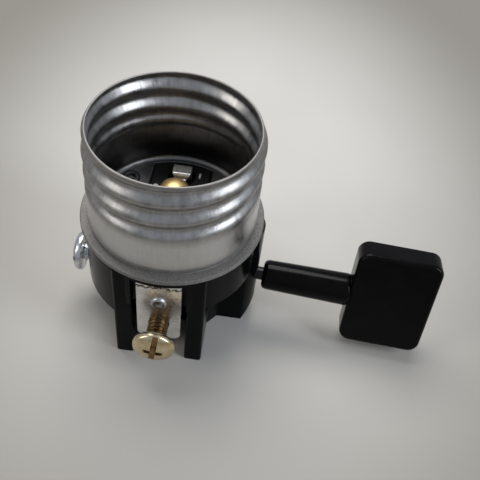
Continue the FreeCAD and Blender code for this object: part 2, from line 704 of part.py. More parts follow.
def quadrant(index, x0, x1):
    """A quarter of the space round the shaft, between two stations along it."""
    size = 2 * ROTOR_R
    piece = box(x0, x1, 0, size, 0, size)
    piece.rotate(V(0, 0, 0), X, 90 * index + 45)
    piece.translate(V(0, 0, SHAFT_Z))
    return piece


def make_rotor_contact():
    """Copper sleeve: a full ring for the line and stepped lands for the two loads."""
    start = LINE_TRACK - TRACK_W / 2
    end = RING_TRACK + TRACK_W / 2
    split_line = LINE_TRACK + TRACK_W / 2
    split_load = (CENTRE_TRACK + RING_TRACK) / 2
    sleeve = along_shaft(2 * (ROTOR_R + CONTACTOR_T), start, end)
    cuts = [
        along_shaft(2 * ROTOR_R, start - PAST, end + PAST),
        quadrant(0, split_line, end + PAST),
        quadrant(1, split_load, end + PAST),
        quadrant(3, split_line, split_load),
    ]
    return yawed(sleeve.cut(cuts).removeSplitter())


def make_detent_spring():
    """Flat spring under the cam, bowed up towards it."""
    low = CHAMBER_BOTTOM + BLADE_T / 2
    high = SHAFT_Z - CAM_CORNER_R - AIR - BLADE_T / 2
    end = CHAMBER_Y - SEAT_FIT
    points = [(-end, low), (-DETENT_FOOT, low), (-DETENT_TOP, high),
              (DETENT_TOP, high), (DETENT_FOOT, low), (end, low)]
    return strip_yz(points, BLADE_T, BLADE_BEND, CAM_START + SEAT_FIT, CAM_END - SEAT_FIT)


def make_line_blade():
    """Finger that brings the line from the live strap to the rotor."""
    root = LIVE_ARM_TOP - STRAP_T - BLADE_T / 2
    low = FINGER_Z + BLADE_T / 2
    points = [(LINE_TAB_IN - STRAP_FACE, root), (LINE_DROP, root), (LINE_DROP, low + LINE_STEP),
              (FINGER_DIP, low), (LINE_TIP, low + SEAT_FIT)]
    half = BLADE_W / 2
    side = LINE_TAB_W / 2
    blade = strip_yz(points, BLADE_T, BLADE_BEND, LINE_TRACK - side, LINE_TRACK + side)
    neck_start = LINE_DROP + OVERLAP
    cuts = [
        box(LINE_TRACK + half, LINE_TRACK + LINE_TAB_W, neck_start, BODY_H, 0, BODY_H),
        box(LINE_TRACK - LINE_TAB_W, LINE_TRACK - half, neck_start, BODY_H, 0, BODY_H),
        upright_rod(LINE_RIVET_D + 2 * SEAT_FIT, LINE_TRACK, LINE_RIVET_Y, 0, BODY_H),
    ]
    return blade.cut(cuts).removeSplitter()


def make_line_blade_rivet():
    """Pin through the live strap and the line blade."""
    low = LIVE_ARM_TOP - STRAP_T - BLADE_T - LINE_RIVET_PROUD
    return upright_rod(LINE_RIVET_D, LINE_TRACK, LINE_RIVET_Y, low, LIVE_ARM_TOP)


def make_shaft_clip():
    """Push-on washer that keeps the shaft in."""
    end = -LEG_OUTSIDE - AIR
    clip = along_shaft(2 * CLIP_R, end - CLIP_T, end)
    return yawed(clip.cut(along_shaft(SHAFT_D + 2 * PRESS_FIT, end - CLIP_T - PAST, end + PAST)))


def make_shell_rivet(x, y):
    """Eyelet that clamps the shell, the carrier and the body."""
    head_r = RIVET_HEAD_D / 2
    head_top = FLOOR_TOP + RIVET_HEAD_H
    tail_end = DRUM_BOTTOM - RIVET_TAIL_H
    outline = [(0, tail_end), (RIVET_D / 2, tail_end), (RIVET_D / 2, FLOOR_TOP),
               (head_r, FLOOR_TOP), (head_r, head_top), (0, head_top)]
    return turned(outline, x, y)


# ---- knob ------------------------------------------------------------------------------
def make_knob():
    """Paddle knob: round stem, flat rounded paddle, bore for the shaft."""
    root = KNOB_START + STEM_L
    start = V(KNOB_START, 0, SHAFT_Z)
    shoulder = start + X * STEM_ROUND
    stem = rod(STEM_D, shoulder, start + X * (STEM_L + STEM_SINK))
    stem = stem.fuse(Part.makeCone(STEM_D / 2 - STEM_ROUND, STEM_D / 2, STEM_ROUND, start, X))
    half_h = PADDLE_H / 2
    half_t = PADDLE_T / 2
    paddle = box(root, root + PADDLE_L, -half_t, half_t, -half_h, half_h)
    corners = []
    for edge in paddle.Edges:
        middle = edge.CenterOfMass
        if abs(abs(middle.z) - half_h) < 0.01 and abs(middle.y) < 0.01:
            corners.append(edge)
    paddle = paddle.makeFillet(PADDLE_CORNER, corners)
    rims = [e for e in paddle.Edges if abs(abs(e.CenterOfMass.y) - half_t) < 0.01]
    paddle = paddle.makeChamfer(PADDLE_EDGE, rims)
    paddle.rotate(V(0, 0, 0), X, -PADDLE_TURN)
    paddle.translate(V(0, 0, SHAFT_Z))
    bore = along_shaft(SHAFT_D + 2 * PRESS_FIT, KNOB_START - PAST, SHAFT_OUT + SEAT_FIT)
    return yawed(stem.fuse(paddle).cut(bore).removeSplitter())


# ---- all pieces ------------------------------------------------------------------------
def build():
    left, right = rivet_centres()
    return {
        "screw_shell": make_screw_shell(),
        "socket_body": make_socket_body(),
        "contact_carrier": make_contact_carrier(),
        "shell_rivet_left": make_shell_rivet(*left),
        "shell_rivet_right": make_shell_rivet(*right),
        "centre_contact": make_centre_contact(),
        "centre_contact_spring": make_button_spring(),
        "centre_blade": make_centre_blade(),
        "centre_blade_rivet": make_centre_blade_rivet(),
        "ring_contact": make_ring_contact(),
        "ring_blade": make_ring_blade(),
        "live_strap": make_live_strap(),
        "live_strap_rivet": make_strap_rivet(),
        "live_screw": make_terminal_screw(LIVE_SCREW_OUT, LIVE_SCREW_SPIN),
        "neutral_strap": make_neutral_strap(),
        "neutral_strap_rivet": to_side(make_strap_rivet()),
        "neutral_screw": to_side(make_terminal_screw(NEUTRAL_SCREW_OUT, NEUTRAL_SCREW_SPIN)),
        "line_blade": make_line_blade(),
        "line_blade_rivet": make_line_blade_rivet(),
        "switch_shaft": make_switch_shaft(),
        "shaft_clip": make_shaft_clip(),
        "switch_rotor": make_switch_rotor(),
        "rotor_contact": make_rotor_contact(),
        "detent_spring": make_detent_spring(),
        "knob": make_knob(),
    }


os.makedirs("parts", exist_ok=True)
for name, shape in build().items():
    print(name, shape.isValid(), len(shape.Solids), round(shape.Volume, 2))
    shape.exportStep("parts/" + name + ".step")
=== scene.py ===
"""Lamp holder interior: the looks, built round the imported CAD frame.

Metres, +Z up.  The origin is on the axis of the screw shell, at the level of the feet.
Forms are written in millimetres and scaled when they become meshes.
"""

import math

import bmesh
import bpy
from mathutils import Matrix, Vector


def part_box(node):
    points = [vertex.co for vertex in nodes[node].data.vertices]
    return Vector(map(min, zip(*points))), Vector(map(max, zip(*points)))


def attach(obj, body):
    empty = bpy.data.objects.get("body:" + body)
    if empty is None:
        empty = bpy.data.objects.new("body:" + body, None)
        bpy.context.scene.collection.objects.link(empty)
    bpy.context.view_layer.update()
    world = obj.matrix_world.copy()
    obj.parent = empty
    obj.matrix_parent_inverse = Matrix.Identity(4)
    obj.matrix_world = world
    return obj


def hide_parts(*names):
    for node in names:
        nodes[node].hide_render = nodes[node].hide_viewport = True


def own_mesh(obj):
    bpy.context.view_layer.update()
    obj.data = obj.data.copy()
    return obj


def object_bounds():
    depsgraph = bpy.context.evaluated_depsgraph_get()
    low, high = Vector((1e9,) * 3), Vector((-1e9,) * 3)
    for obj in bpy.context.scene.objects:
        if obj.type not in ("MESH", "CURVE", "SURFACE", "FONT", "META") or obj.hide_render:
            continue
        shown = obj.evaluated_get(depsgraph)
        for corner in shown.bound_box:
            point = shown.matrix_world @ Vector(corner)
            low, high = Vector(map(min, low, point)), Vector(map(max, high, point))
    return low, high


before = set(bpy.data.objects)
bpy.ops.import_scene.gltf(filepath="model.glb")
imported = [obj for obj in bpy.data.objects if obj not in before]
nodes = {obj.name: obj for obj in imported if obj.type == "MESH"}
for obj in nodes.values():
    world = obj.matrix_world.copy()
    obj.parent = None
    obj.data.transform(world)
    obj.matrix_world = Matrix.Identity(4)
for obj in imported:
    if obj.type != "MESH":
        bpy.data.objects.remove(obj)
cad_low, cad_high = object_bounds()

MM = 0.001
FULL_TURN = 2 * math.pi

# ---- sizes shared with the part's source, in millimetres ---------------------------------
SHEET = 0.4               # the shell's sheet metal
CREST_R = 13.65           # outside of the thread crests
THREAD_DEPTH = 0.84
THREAD_PITCH = 25.4 / 7
THREAD_PHASE = 50.0
THREAD_LENGTH = 8.6
THREAD_FADE = 2.6
RIM_RUNOUT = 1.3
RIM_DEPTH_SHARE = 0.2
RIM_CURL = 0.55
NECK_R = 13.15
NECK_HEIGHT = 1.5
CORNER_R = 0.9            # inside corner between wall and floor
BRIM_R = 14.945
BRIM_ROOT_R = 13.4        # where the underside of the brim begins
BODY_TOP = 22.3           # underside of the brim
HEM = 0.85                # thickness of the hemmed brim
HEM_PINCH = 1.1           # crease of the hem, in radii of its bend from the edge
BRIM_RINGS = (14.4, 13.9, 13.5)
WINDOW_HALF = 5.1
WINDOW_FRONT = 6.5
WINDOW_BACK_R = 12.05
WINDOW_EDGE = 0.06        # softened edge of the window
SHAFT_Z = 11.2
SHAFT_YAW = -3.5
KNOB_START = 16.2
STEM_L = 15.2
STEM_D = 5.2
STEM_ROOT_D = 5.7
BORE_R = 1.2              # bore of the stem for the shaft
BORE_L = 6.0
BORE_MOUTH = 0.15         # chamfer of the bore
STEM_END = ((0.8, 0.0), (0.45, 0.1), (0.18, 0.33), (0.0, 0.85))  # inwards, along
STEM_ROWS = (4.0, 8.0, 12.0)
STEM_TURN_IN = 0.9        # the taper ends this far before the paddle
PADDLE_L = 14.3
PADDLE_H = 18.8
PADDLE_T = 5.0
PADDLE_CORNER = 2.0
PADDLE_EDGE = 0.75        # rounding of the paddle's rims
PADDLE_TURN = 14.5
STRAP_FACE = 13.2         # faces of the two straps, from the axis
SCREW_Z = 9.6
SCREW_R = 1.7
SCREW_L = 4.9
THREAD_STEP = 0.72        # pitch of the screw thread
THREAD_CUT = 0.3
HEAD_R = 3.5
HEAD_H = 1.9
HEAD_EDGE = 0.7
SLOT_W = 0.9
SLOT_FLOOR = 0.95
CROSS_TOP = 2.1
CROSS_END = 0.6
CROSS_W = 0.8
CROSS_FLOOR = 0.5
SLOT_DRAFT = 0.05         # the slot is this much wider above the head, each side
CROSS_DRAFT = 0.08
CROSS_TAPER = 0.1         # and the cross this much narrower at its floor
CUT_ABOVE = 0.5           # the cutters start this far above the head
CUT_PAST = 1.0
LIVE_OUT = 3.9            # the screws stand out of the straps by this much
LIVE_SPIN = 83.0
NEUTRAL_OUT = 2.4
NEUTRAL_SPIN = 20.0
STRAP_RIVET_Z = 15.3
STRAP_RIVET_R = 1.25
STRAP_RIVET_H = 0.35
STRAP_SHANK_R = 0.8
STRAP_SHANK_L = 2.4
BUTTON_AT = (-0.3, 2.6)
BUTTON_R = 2.6
BUTTON_TOP = 26.75
BUTTON_DOME = 2.0
BUTTON_FOOT = 20.5
COLLAR_R = 3.05
COLLAR_H = 0.6
SPIGOT_R = 1.0
SPIGOT_L = 1.2
SPRING_WIRE_R = 0.175
SPRING_MEAN_R = 1.6
SPRING_TURNS = 3.5
SPRING_FOOT = 17.3
TAB_PATH = ((9.6, 17.3), (9.6, 24.3), (7.35, 24.3), (7.0, 23.45), (6.3, 23.4))
TAB_HALF = (1.6, 1.6, 1.6, 0.95, 0.8)
TAB_X = 0.1
TAB_T = 0.4
TAB_BEND = 0.5
TAB_EDGE = 0.08
EYELET_R = 10.7           # place of the eyelets, from the axis
EYELET_ANGLE = 142.0
EYELET_HEAD_R = 1.6
EYELET_HEAD_H = 0.5
EYELET_SHANK_R = 1.05
EYELET_BORE_R = 0.62
EYELET_END = 13.8

RIM_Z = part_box("screw_shell")[1][2] / MM
LIP = SHEET / 2           # radius of the bent edges
BRIM_TOP = BODY_TOP + HEM
FLOOR_TOP = BODY_TOP + SHEET
INNER_R = CREST_R - SHEET

# ---- fineness of the meshes --------------------------------------------------------------
SHELL_SIDES = 288
WALL_ROWS = 84
LIP_STEPS = 6
CORNER_STEPS = 7
FLOOR_STEPS = 6
HEM_STEPS = 5
NECK_STEPS = 7
NECK_STOP = 0.999         # the neck ends a hair below the first row of the wall
STEM_SIDES = 48
PADDLE_CORNER_STEPS = 8
PADDLE_EDGE_STEPS = 5
DOME_STEPS = 14
BUTTON_SIDES = 56
HEAD_SIDES = 72
SHANK_SIDES = 36
SHANK_ROWS_A_TURN = 9
RIVET_SIDES = 40
SPRING_STATIONS = 98
SPRING_SIDES = 10
TAB_STEPS = 8
SHARP_ANGLE = 38          # degrees between faces that stay sharp
EDGE_SAMPLES = 6
TINY = 1e-9

# ---- stage -------------------------------------------------------------------------------
FLOOR_HALF = 3.0          # metres
FLOOR_DROP = 0.00002      # metres below the feet
# the floor's colour carries a painted pool of light round this middle
FLOOR_MIDDLE = (8.5, 38.0)
FLOOR_SQUEEZE = 0.675     # the painted pool of light is longer along Y by one over this
FLOOR_NEAR = 20.0         # painted falloff: the floor's tone darkens between these distances
FLOOR_FAR = 78.0
FLOOR_BEYOND = (2, 8)     # and turns even again between these multiples of the last
FLOOR_ROUGH = 0.7
FLOOR_SHINE = 0.25
WORLD_COLOUR = (0.80, 0.86, 0.95, 1.0)
WORLD_LIGHT = 0.22        # strength for the light on the object
WORLD_SEEN = 0.45         # strength as the camera, mirrors and glass see it
LENS = 50.4
SENSOR = 36.0
CAMERA_AT = (11.43, -75.08, 103.1)
CAMERA_DOWN = 48.56       # degrees below the horizontal
CAMERA_ROLL = 7.87
CAMERA_CLIP = (0.005, 20.0)
LAMPS = (                 # name, place, target, width and height in metres, watts, colour
    ("key", (-0.10, 0.26, 0.58), (0, 0, 0.0), 0.46, 0.36, 3.7, (1.0, 0.98, 0.95)),
    ("left", (-0.38, -0.20, 0.26), (0, 0, 0.02), 0.12, 0.34, 0.6, (1.0, 0.95, 0.88)),
    ("right", (0.38, -0.14, 0.28), (0, 0, 0.02), 0.16, 0.36, 1.35, (0.90, 0.94, 1.0)),
)

# ---- zones of the shell's metal, in millimetres from the named place --------------------
BRIM_ZONE = (0.25, 0.02)  # above the brim: none of it, all of it
OUTER_ZONE = (0.45, 0.3)  # inwards of the crests: inside, outside
RIM_ZONE = (0.7, 0.2)     # below the rim: none of it, all of it
INNER_ZONE = (0.05, 0.2)  # outwards of the inner wall: inside, outside
SHADE_INSIDE_ZONE = (3.7, 7.7)    # above the body: painted shade darkest, then none
SHADE_INSIDE_SHARE = 0.88
SHADE_ON_FLOOR = 0.62      # share of that painted shade on the shell's floor
SHEEN_BAND_ZONE = (7.0, 8.5)    # above the body: painted sheen palest, then none
SHEEN_BAND_SHARE = 0.6
DULL_ROUGH = 0.22         # added to the roughness of brim and rim
BRIM_PLAIN = 0.55         # the brim is less metallic by this

# ---- tones and roughness that a material mixes; the rest is in the table of materials ----
WALL_TONES = ((0.3, (0.24, 0.236, 0.235)), (0.5, (0.37, 0.365, 0.362)),
              (0.7, (0.46, 0.455, 0.45)))
BRIM_TONES = ((0.35, (0.12, 0.115, 0.108)), (0.5, (0.17, 0.164, 0.156)),
              (0.68, (0.235, 0.228, 0.218)))
# painted sheen: the plain band low on the outer wall is painted paler
SHEEN_BAND_TONE = (0.72, 0.715, 0.71)
# painted shade deep inside the shell, near black towards the floor
SHADE_INSIDE_TONE = (0.05, 0.049, 0.049)
RIM_TONE = (0.26, 0.25, 0.24)
STRAP_TONES = ((0.3, (0.66, 0.64, 0.605)), (0.7, (0.86, 0.835, 0.80)))
# ragged line of painted shade and reflection under the brim's edge, on the live strap
SHADE_LINE_TONE = (0.07, 0.065, 0.06)
SHADE_LINE_LOW = 20.1           # height of the ragged line of painted shade across the live strap
SHADE_LINE_WIDTH = 0.42
SHADE_LINE_SOFT = 0.12
SHADE_LINE_WAVE = 2.2
SCREW_TONES = ((0.3, (0.50, 0.39, 0.22)), (0.7, (0.74, 0.63, 0.43)))
# painted shade on the live screw's shank behind its head
SHANK_SHADE_TONE = (0.13, 0.08, 0.035)
PAINT_TONES = ((0.3, (0.51, 0.50, 0.475)), (0.7, (0.55, 0.54, 0.515)))
# painted falloff round the floor's pool of light
PAINTED_FALLOFF_TONE = (0.23, 0.22, 0.198)
PAINT_FAR = (0.6, 0.59, 0.57)
MOULDING_SHARES = (0.8, 1.3)  # darkest and palest of a moulding, as shares of its colour
CLOUD = (0.3, 0.7)        # noise values at which roughness reaches its two ends
SHELL_ROUGH = (0.27, 0.42)
STRAP_ROUGH = (0.24, 0.34)
SCREW_ROUGH = (0.16, 0.28)


# ---- material helpers --------------------------------------------------------------------
def new_material(name):
    """A material with its node tree and shader."""
    material = bpy.data.materials.new(name)
    material.use_nodes = True
    tree = material.node_tree
    return material, tree, tree.nodes["Principled BSDF"]


def ramp(tree, source, stops):
    """Colour ramp over a value."""
    node = tree.nodes.new("ShaderNodeValToRGB")
    elements = node.color_ramp.elements
    while len(elements) < len(stops):
        elements.new(0.5)
    for element, (place, colour) in zip(elements, stops):
        element.position = place
        element.color = (*colour, 1.0)
    tree.links.new(source, node.inputs[0])
    return node.outputs[0]


def value_range(tree, source, low, high, to_low, to_high, soft=False):
    """Map a value from one range to another, clamped; soft eases in and out."""
    node = tree.nodes.new("ShaderNodeMapRange")
    if soft:
        node.interpolation_type = "SMOOTHSTEP"
    for socket, value in zip(list(node.inputs)[1:5], (low, high, to_low, to_high)):
        socket.default_value = value
    tree.links.new(source, node.inputs[0])
    return node.outputs[0]


def maths(tree, operation, first, second=None):
    """One math node on sockets or numbers."""
    node = tree.nodes.new("ShaderNodeMath")
    node.operation = operation
    for socket, value in zip(node.inputs, (first, second)):
        if value is None:
            continue
        if isinstance(value, (int, float)):
            socket.default_value = value
        else:
            tree.links.new(value, socket)
    return node.outputs[0]


def vector_maths(tree, operation, source, second=None):
    """One vector math node with a fixed second vector; returns the node."""
    node = tree.nodes.new("ShaderNodeVectorMath")
    node.operation = operation
    tree.links.new(source, node.inputs[0])
    if second is not None:
        node.inputs[1].default_value = second
    return node


def separate(tree, place):
    """The three parts of a vector."""
    node = tree.nodes.new("ShaderNodeSeparateXYZ")
    tree.links.new(place, node.inputs[0])
    return node.outputs


def object_place(tree):
    """Place on the object in millimetres."""
    place = tree.nodes.new("ShaderNodeTexCoord")
    scale = vector_maths(tree, "SCALE", place.outputs["Object"])
    scale.inputs["Scale"].default_value = 1 / MM
    return scale.outputs[0]


def height_of(tree):
    """Height above the feet in millimetres."""
    return separate(tree, object_place(tree))[2]


def reach_of(tree):
    """Distance from the Z axis in millimetres."""
    flat = vector_maths(tree, "MULTIPLY", object_place(tree), (1.0, 1.0, 0.0))
    return vector_maths(tree, "LENGTH", flat.outputs[0]).outputs[1]


def round_place(tree, stretch_round, stretch_up):
    """Place rolled out round the Z axis: along the wall, outwards, up.

    The first is divided by stretch_round, the other two by stretch_up.
    """
    x, y, z = separate(tree, object_place(tree))
    angle = maths(tree, "ARCTAN2", y, x)
    join = tree.nodes.new("ShaderNodeCombineXYZ")
    parts = (
        maths(tree, "MULTIPLY", angle, CREST_R / stretch_round),
        maths(tree, "MULTIPLY", reach_of(tree), 1 / stretch_up),
        maths(tree, "MULTIPLY", z, 1 / stretch_up),
    )
    for part, socket in zip(parts, join.inputs):
        tree.links.new(part, socket)
    return join.outputs[0]


def mix(tree, share, first, second):
    """Blend two colours by a share."""
    node = tree.nodes.new("ShaderNodeMix")
    node.data_type = "RGBA"
    tree.links.new(share, node.inputs[0])
    for socket, value in ((node.inputs[6], first), (node.inputs[7], second)):
        if isinstance(value, tuple):
            socket.default_value = (*value, 1.0)
        else:
            tree.links.new(value, socket)
    return node.outputs[2]


def noise(tree, place, scale, detail=4.0, roughness=0.55):
    """Noise value at a place."""
    node = tree.nodes.new("ShaderNodeTexNoise")
    node.inputs["Scale"].default_value = scale
    node.inputs["Detail"].default_value = detail
    node.inputs["Roughness"].default_value = roughness
    tree.links.new(place, node.inputs["Vector"])
    return node.outputs[0]


def tarnish(tree):
    """Cloudy noise of the metals."""
    return noise(tree, object_place(tree), 0.8, 5.0, 0.6)


def bump(tree, shader, height, strength, distance_mm, normal=None):
    """Raise the surface by a height value."""
    node = tree.nodes.new("ShaderNodeBump")
    node.inputs["Strength"].default_value = strength
    node.inputs["Distance"].default_value = distance_mm * MM
    tree.links.new(height, node.inputs["Height"])
    if normal is not None:
        tree.links.new(normal, node.inputs["Normal"])
    tree.links.new(node.outputs[0], shader.inputs["Normal"])
    return node.outputs[0]


def soft_edges(tree, radius_mm):
    """Normal of a surface whose edges are rounded by a radius."""
    node = tree.nodes.new("ShaderNodeBevel")
    node.samples = EDGE_SAMPLES
    node.inputs["Radius"].default_value = radius_mm * MM
    return node.outputs[0]


# ---- materials ---------------------------------------------------------------------------
def shell_zones(tree):
    """Shares of the shell's zones: brim, rim, painted shade inside near the floor, painted sheen
    on the plain band outside.
    """
    height = height_of(tree)
    reach = reach_of(tree)

    def fade(source, base, sign, zone, start, end):
        """Go from start to end as the source crosses a zone counted from a base."""
        low, high = (base + sign * step for step in zone)
        return value_range(tree, source, low, high, start, end)

    on_brim = fade(height, BRIM_TOP, 1, BRIM_ZONE, 0.0, 1.0)
    brim = maths(tree, "MULTIPLY", on_brim, fade(reach, CREST_R, -1, OUTER_ZONE, 0.0, 1.0))
    rim = fade(height, RIM_Z, -1, RIM_ZONE, 0.0, 1.0)
    inside = fade(reach, INNER_R, 1, INNER_ZONE, 1.0, 0.0)
    # painted shade: the inside darkens towards the floor
    down = fade(height, BODY_TOP, 1, SHADE_INSIDE_ZONE, SHADE_INSIDE_SHARE, 0.0)
    off_floor = fade(height, FLOOR_TOP, 1, (0.1, CORNER_R), SHADE_ON_FLOOR, 1.0)
    painted_shade = maths(tree, "MULTIPLY", maths(tree, "MULTIPLY", inside, down), off_floor)
    # painted sheen: the plain band outside is paler low down
    below = fade(height, BODY_TOP, 1, SHEEN_BAND_ZONE, SHEEN_BAND_SHARE, 0.0)
    painted_sheen_band = maths(tree, "MULTIPLY", below, maths(tree, "SUBTRACT", 1.0, inside))
    return brim, rim, painted_shade, painted_sheen_band


def shell_metal():
    """Rolled aluminium: marks round the wall, cloudy wear, a dull brim, painted shade inside and
    painted sheen on the plain band outside.
    """
    material, tree, shader = new_material("shell_metal")
    fine = noise(tree, round_place(tree, 6.0, 0.12), 1.0, 3.0)
    cloud = noise(tree, object_place(tree), 0.55, 5.0, 0.6)
    streak = noise(tree, round_place(tree, 0.5, 3.0), 1.0, 4.0)
    speck = noise(tree, object_place(tree), 3.2, 4.0, 0.7)
    brim, rim, painted_shade, painted_sheen_band = shell_zones(tree)

    wear = maths(tree, "ADD", maths(tree, "MULTIPLY", cloud, 0.6),
                 maths(tree, "MULTIPLY", streak, 0.4))
    # painted sheen on the plain band outside
    colour = mix(tree, painted_sheen_band, ramp(tree, wear, WALL_TONES), SHEEN_BAND_TONE)
    # painted shade over the inside near the floor
    colour = mix(tree, painted_shade, colour, SHADE_INSIDE_TONE)
    colour = mix(tree, rim, colour, RIM_TONE)
    colour = mix(tree, brim, colour, ramp(tree, speck, BRIM_TONES))
    tree.links.new(colour, shader.inputs["Base Color"])

    rough = value_range(tree, cloud, *CLOUD, *SHELL_ROUGH)
    dull = maths(tree, "MULTIPLY", maths(tree, "MAXIMUM", brim, rim), DULL_ROUGH)
    tree.links.new(maths(tree, "ADD", rough, dull), shader.inputs["Roughness"])
    plain = maths(tree, "MULTIPLY", brim, BRIM_PLAIN)
    tree.links.new(maths(tree, "SUBTRACT", 1.0, plain), shader.inputs["Metallic"])

    normal = bump(tree, shader, fine, 0.35, 0.05)
    normal = bump(tree, shader, streak, 0.25, 0.12, normal)
    bump(tree, shader, maths(tree, "MULTIPLY", speck, brim), 0.5, 0.08, normal)
    return material


def moulding(name, colour, low, high, edge, shine):
    """Moulded plastic: slight flow marks and dust, rounded edges."""
    material, tree, shader = new_material(name)
    shader.inputs["Specular IOR Level"].default_value = shine
    place = object_place(tree)
    cloud = noise(tree, place, 0.35, 4.0)
    dust = noise(tree, place, 6.0, 2.0)
    dark, pale = (tuple(share * c for c in colour) for share in MOULDING_SHARES)
    tree.links.new(ramp(tree, cloud, [(0.35, dark), (0.7, pale)]), shader.inputs["Base Color"])
    tree.links.new(value_range(tree, cloud, *CLOUD, low, high), shader.inputs["Roughness"])
    bump(tree, shader, dust, 0.06, 0.05, soft_edges(tree, edge))
    return material


def plated(name, dark, pale, low, high, grain_mm, edge, metal=1.0):
    """Plated or plain metal with fine grain and cloudy tarnish."""
    material, tree, shader = new_material(name)
    shader.inputs["Metallic"].default_value = metal
    cloud = tarnish(tree)
    grain = noise(tree, object_place(tree), 1 / grain_mm, 3.0)
    tree.links.new(ramp(tree, cloud, [(0.3, dark), (0.7, pale)]), shader.inputs["Base Color"])
    tree.links.new(value_range(tree, cloud, *CLOUD, low, high), shader.inputs["Roughness"])
    bump(tree, shader, grain, 0.15, 0.03, soft_edges(tree, edge))
    return material


def strap_metal():
    """Nickel strap; a ragged line of painted shade and reflection crosses the live one, under the
    brim.
    """
    material, tree, shader = new_material("strap_metal")
    shader.inputs["Metallic"].default_value = 1.0
    place = object_place(tree)
    cloud = tarnish(tree)
    grain = noise(tree, place, 2.5, 3.0)
    ragged = noise(tree, place, 1.4, 2.0, 0.7)
    edge = maths(tree, "ADD", height_of(tree), maths(tree, "MULTIPLY", ragged, SHADE_LINE_WAVE))
    top = SHADE_LINE_LOW + SHADE_LINE_WIDTH
    low = value_range(tree, edge, SHADE_LINE_LOW, SHADE_LINE_LOW + SHADE_LINE_SOFT, 0.0, 1.0)
    high = value_range(tree, edge, top, top + SHADE_LINE_SOFT, 1.0, 0.0)
    on_live = value_range(tree, separate(tree, place)[1], -STRAP_FACE + 0.1, -STRAP_FACE + 0.02,
                          0.0, 1.0)
    # painted shade and reflection of the brim's edge, along a ragged line
    painted_shade_line = maths(tree, "MULTIPLY", maths(tree, "MULTIPLY", low, high), on_live)
    colour = mix(tree, painted_shade_line, ramp(tree, cloud, STRAP_TONES), SHADE_LINE_TONE)
    tree.links.new(colour, shader.inputs["Base Color"])
    tree.links.new(value_range(tree, cloud, *CLOUD, *STRAP_ROUGH), shader.inputs["Roughness"])
    bump(tree, shader, grain, 0.12, 0.03, soft_edges(tree, 0.08))
    return material


def screw_brass():
    """Brass plate of the live screw; painted shade darkens the shank behind its head."""
    material, tree, shader = new_material("screw_brass")
    shader.inputs["Metallic"].default_value = 1.0
    place = object_place(tree)
    cloud = tarnish(tree)
    grain = noise(tree, place, 3.0, 3.0)
    head = STRAP_FACE + LIVE_OUT
    # painted shade: the shank behind the head is darker
    shaded_shank = value_range(tree, separate(tree, place)[1], -head - 0.02, -head + 0.05, 0.0, 1.0)
    colour = mix(tree, shaded_shank, ramp(tree, cloud, SCREW_TONES), SHANK_SHADE_TONE)
    tree.links.new(colour, shader.inputs["Base Color"])
    tree.links.new(value_range(tree, cloud, *CLOUD, *SCREW_ROUGH), shader.inputs["Roughness"])
    bump(tree, shader, grain, 0.15, 0.03, soft_edges(tree, 0.08))
    return material


# moulding: name, colour, low and high roughness, edge radius in mm, specular level
# plated: name, dark and pale colour, low and high roughness, grain and edge radius in mm, metallic
materials = {
    "shell": shell_metal(),
    "strap": strap_metal(),
    "brass": screw_brass(),
    "moulding": moulding("moulding", (0.0022, 0.0025, 0.0027), 0.16, 0.25, 0.15, 0.055),
    "carrier": moulding("carrier_moulding", (0.012, 0.0115, 0.0115), 0.35, 0.5, 0.1, 0.3),
    "knob": moulding("knob_plastic", (0.0025, 0.0021, 0.0023), 0.13, 0.2, 0.1, 0.085),
    "button": plated("contact_brass", (0.74, 0.50, 0.21), (0.88, 0.66, 0.32),
                     0.42, 0.52, 0.3, 0.1),
    # darker copies of the brass and the silver: painted shade inside the slots and crosses
    "shaded_brass_recess": plated("shaded_brass_recess", (0.16, 0.09, 0.03), (0.34, 0.21, 0.08),
                           0.3, 0.42, 0.3, 0.08),
    "shaded_silver_recess": plated("shaded_silver_recess", (0.16, 0.16, 0.17), (0.3, 0.3, 0.32),
                            0.3, 0.42, 0.3, 0.08),
    # rough sheared ends, whitened and made non-metallic: a painted glint
    "painted_glint": plated("painted_glint_white", (0.90, 0.89, 0.86), (0.97, 0.96, 0.94),
                      0.5, 0.62, 0.3, 0.08, 0.0),
    "shaft": plated("dark_shaft", (0.02, 0.02, 0.021), (0.05, 0.05, 0.052),
                    0.26, 0.4, 0.3, 0.08),
    "silver": plated("screw_silver", (0.50, 0.52, 0.55), (0.70, 0.72, 0.74),
                     0.16, 0.28, 0.3, 0.08),
    "nickel": plated("nickel_plate", (0.48, 0.465, 0.44), (0.64, 0.625, 0.59),
                     0.2, 0.3, 0.5, 0.12, 0.6),
    "rivet": plated("rivet_metal", (0.42, 0.44, 0.48), (0.56, 0.58, 0.62),
                    0.25, 0.4, 0.3, 0.08),
    # dark metal: painted shade on the eyelets deep in the shell
    "eyelet": plated("eyelet_metal_shaded", (0.07, 0.07, 0.072), (0.15, 0.15, 0.155),
                     0.4, 0.55, 0.3, 0.08),
    "copper": plated("blade_copper", (0.45, 0.25, 0.14), (0.62, 0.38, 0.24),
                     0.3, 0.45, 0.3, 0.05),
    "steel": plated("spring_steel", (0.06, 0.06, 0.062), (0.16, 0.16, 0.165),
                    0.28, 0.42, 0.3, 0.05),
}
